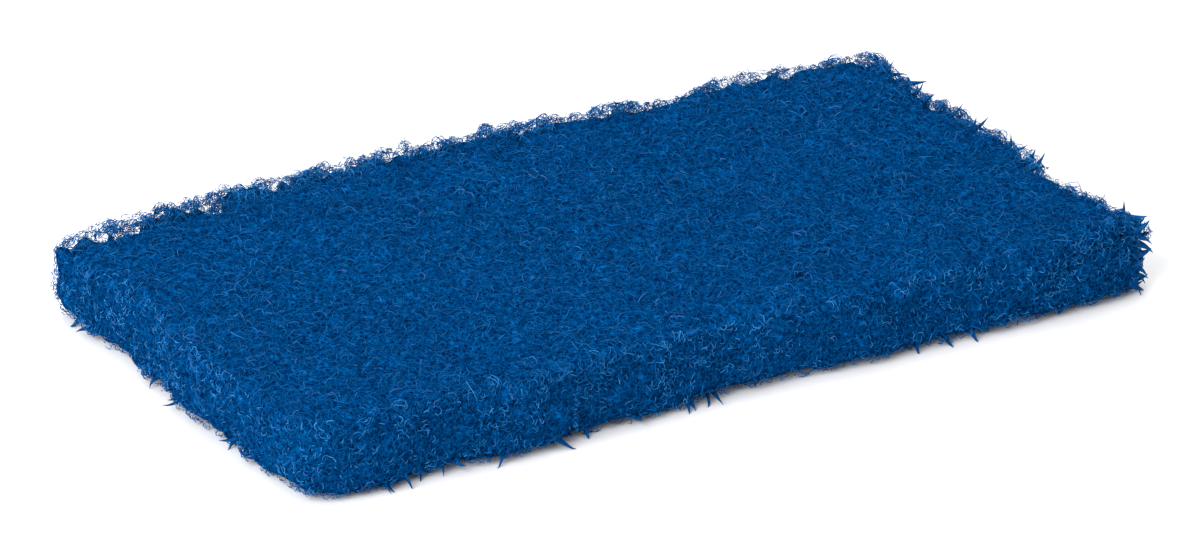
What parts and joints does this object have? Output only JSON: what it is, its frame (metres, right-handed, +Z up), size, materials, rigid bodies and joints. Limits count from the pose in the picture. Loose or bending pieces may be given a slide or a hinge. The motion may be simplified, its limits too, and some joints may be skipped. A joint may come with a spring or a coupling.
{
  "type": "scouring pad",
  "caption": "Rectangular slab of open, springy blue nylon web for scrubbing by hand, with rough-cut sides and tufted edges.",
  "frame": {"origin": "on the surface that the pad rests on, under the middle of its outline", "axes": "+X along the pad's length, +Y across it, +Z up through its thickness"},
  "size_m": [0.2638, 0.1528, 0.0239],
  "materials": {
    "nylon_web": "open nonwoven web of coarse blue nylon fibres, faintly shiny fibre by fibre and dull as a whole"
  },
  "bodies": {
    "root": {"scouring_pad": "nylon_web"}
  },
  "joints": []
}
